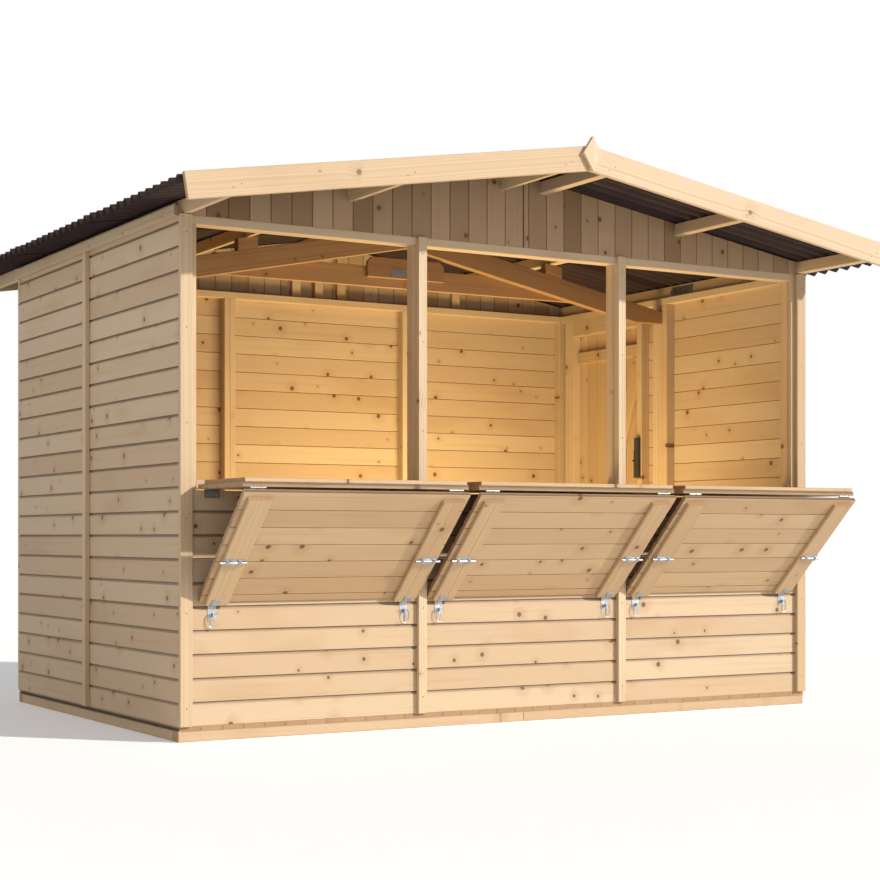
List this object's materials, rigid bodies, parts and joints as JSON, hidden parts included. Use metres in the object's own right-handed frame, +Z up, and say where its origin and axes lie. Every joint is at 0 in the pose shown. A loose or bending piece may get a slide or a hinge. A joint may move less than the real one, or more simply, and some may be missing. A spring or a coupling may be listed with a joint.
{
  "type": "wooden market stall",
  "caption": "Timber market hut with a low-pitched corrugated gable roof, open serving front with fold-down counter hatches on folding props, and a side door.",
  "frame": {"origin": "on the ground, below the middle of the building's box", "axes": "+X to the right along the front, the longest side; -Y out of the serving front; +Z up"},
  "size_m": [3.5786, 3.036, 2.434],
  "materials": {
    "galvanised_steel": "hot-dip galvanised",
    "black_iron": "black lacquered",
    "corrugated_sheet": "bitumen fibre, brown",
    "truss_timber": "planed spruce, weathered brown",
    "base_timber": "sawn spruce",
    "wall_boards": "planed spruce shiplap",
    "hatch_boards": "planed spruce shiplap",
    "framing_timber": "planed spruce"
  },
  "bodies": {
    "stall": {"base_beams": "base_timber", "base_joists": "base_timber", "floor_boards": "base_timber", "front_cladding": "wall_boards", "left_cladding": "wall_boards", "back_cladding": "wall_boards", "right_cladding_front": "wall_boards", "right_cladding_rear": "wall_boards", "right_cladding_over_door": "wall_boards", "corner_posts": "framing_timber", "mullions": "framing_timber", "wall_studs": "framing_timber", "bottom_rails": "framing_timber", "top_rails": "framing_timber", "sill_rail": "framing_timber", "door_head": "hatch_boards", "corner_trims": "framing_timber", "cover_strips": "framing_timber", "eave_strips": "framing_timber", "gable_front": "wall_boards", "gable_back": "wall_boards", "gable_cleats": "framing_timber", "purlins": "framing_timber", "purlin_plates": "galvanised_steel", "truss_rafters": "truss_timber", "truss_tie": "truss_timber", "tie_splice": "truss_timber", "truss_packers": "truss_timber", "barge_boards": "framing_timber", "finials": "framing_timber", "roof_sheet_left": "corrugated_sheet", "roof_sheet_right": "corrugated_sheet", "ridge_cap": "corrugated_sheet", "hinge_plates": "galvanised_steel", "foot_hasps": "galvanised_steel", "door_keep": "black_iron"},
    "counter_left_leaf": {"counter_left": "hatch_boards", "counter_hinges_left": "galvanised_steel"},
    "prop_left_leaf": {"prop_left": "hatch_boards", "prop_ironwork_left": "galvanised_steel"},
    "counter_middle_leaf": {"counter_middle": "hatch_boards", "counter_hinges_middle": "galvanised_steel"},
    "prop_middle_leaf": {"prop_middle": "hatch_boards", "prop_ironwork_middle": "galvanised_steel"},
    "counter_right_leaf": {"counter_right": "hatch_boards", "counter_hinges_right": "galvanised_steel"},
    "prop_right_leaf": {"prop_right": "hatch_boards", "prop_ironwork_right": "galvanised_steel"},
    "door": {"door_leaf": "hatch_boards", "door_ledges": "hatch_boards", "door_hinge_straps": "black_iron", "door_lock": "black_iron"}
  },
  "joints": [
    {"name": "counter_left_fold", "type": "hinge", "parent": "stall", "child": "counter_left_leaf", "pos_m": [-1.03, -1.0035, 0.981], "axis": [-1, 0, 0], "range_deg": [0, 90]},
    {"name": "prop_left_fold", "type": "hinge", "parent": "counter_left_leaf", "child": "prop_left_leaf", "pos_m": [-1.03, -1.429, 0.981], "axis": [-1, 0, 0], "range_deg": [0, 135.4]},
    {"name": "counter_middle_fold", "type": "hinge", "parent": "stall", "child": "counter_middle_leaf", "pos_m": [0, -1.0035, 0.981], "axis": [-1, 0, 0], "range_deg": [0, 90]},
    {"name": "prop_middle_fold", "type": "hinge", "parent": "counter_middle_leaf", "child": "prop_middle_leaf", "pos_m": [0, -1.429, 0.981], "axis": [-1, 0, 0], "range_deg": [0, 135.4]},
    {"name": "counter_right_fold", "type": "hinge", "parent": "stall", "child": "counter_right_leaf", "pos_m": [1.03, -1.0035, 0.981], "axis": [-1, 0, 0], "range_deg": [0, 90]},
    {"name": "prop_right_fold", "type": "hinge", "parent": "counter_right_leaf", "child": "prop_right_leaf", "pos_m": [1.03, -1.429, 0.981], "axis": [-1, 0, 0], "range_deg": [0, 135.4]},
    {"name": "door_swing", "type": "hinge", "parent": "stall", "child": "door", "pos_m": [1.607, 0.8395, 1], "axis": [0, 0, 1], "range_deg": [0, 100]}
  ]
}
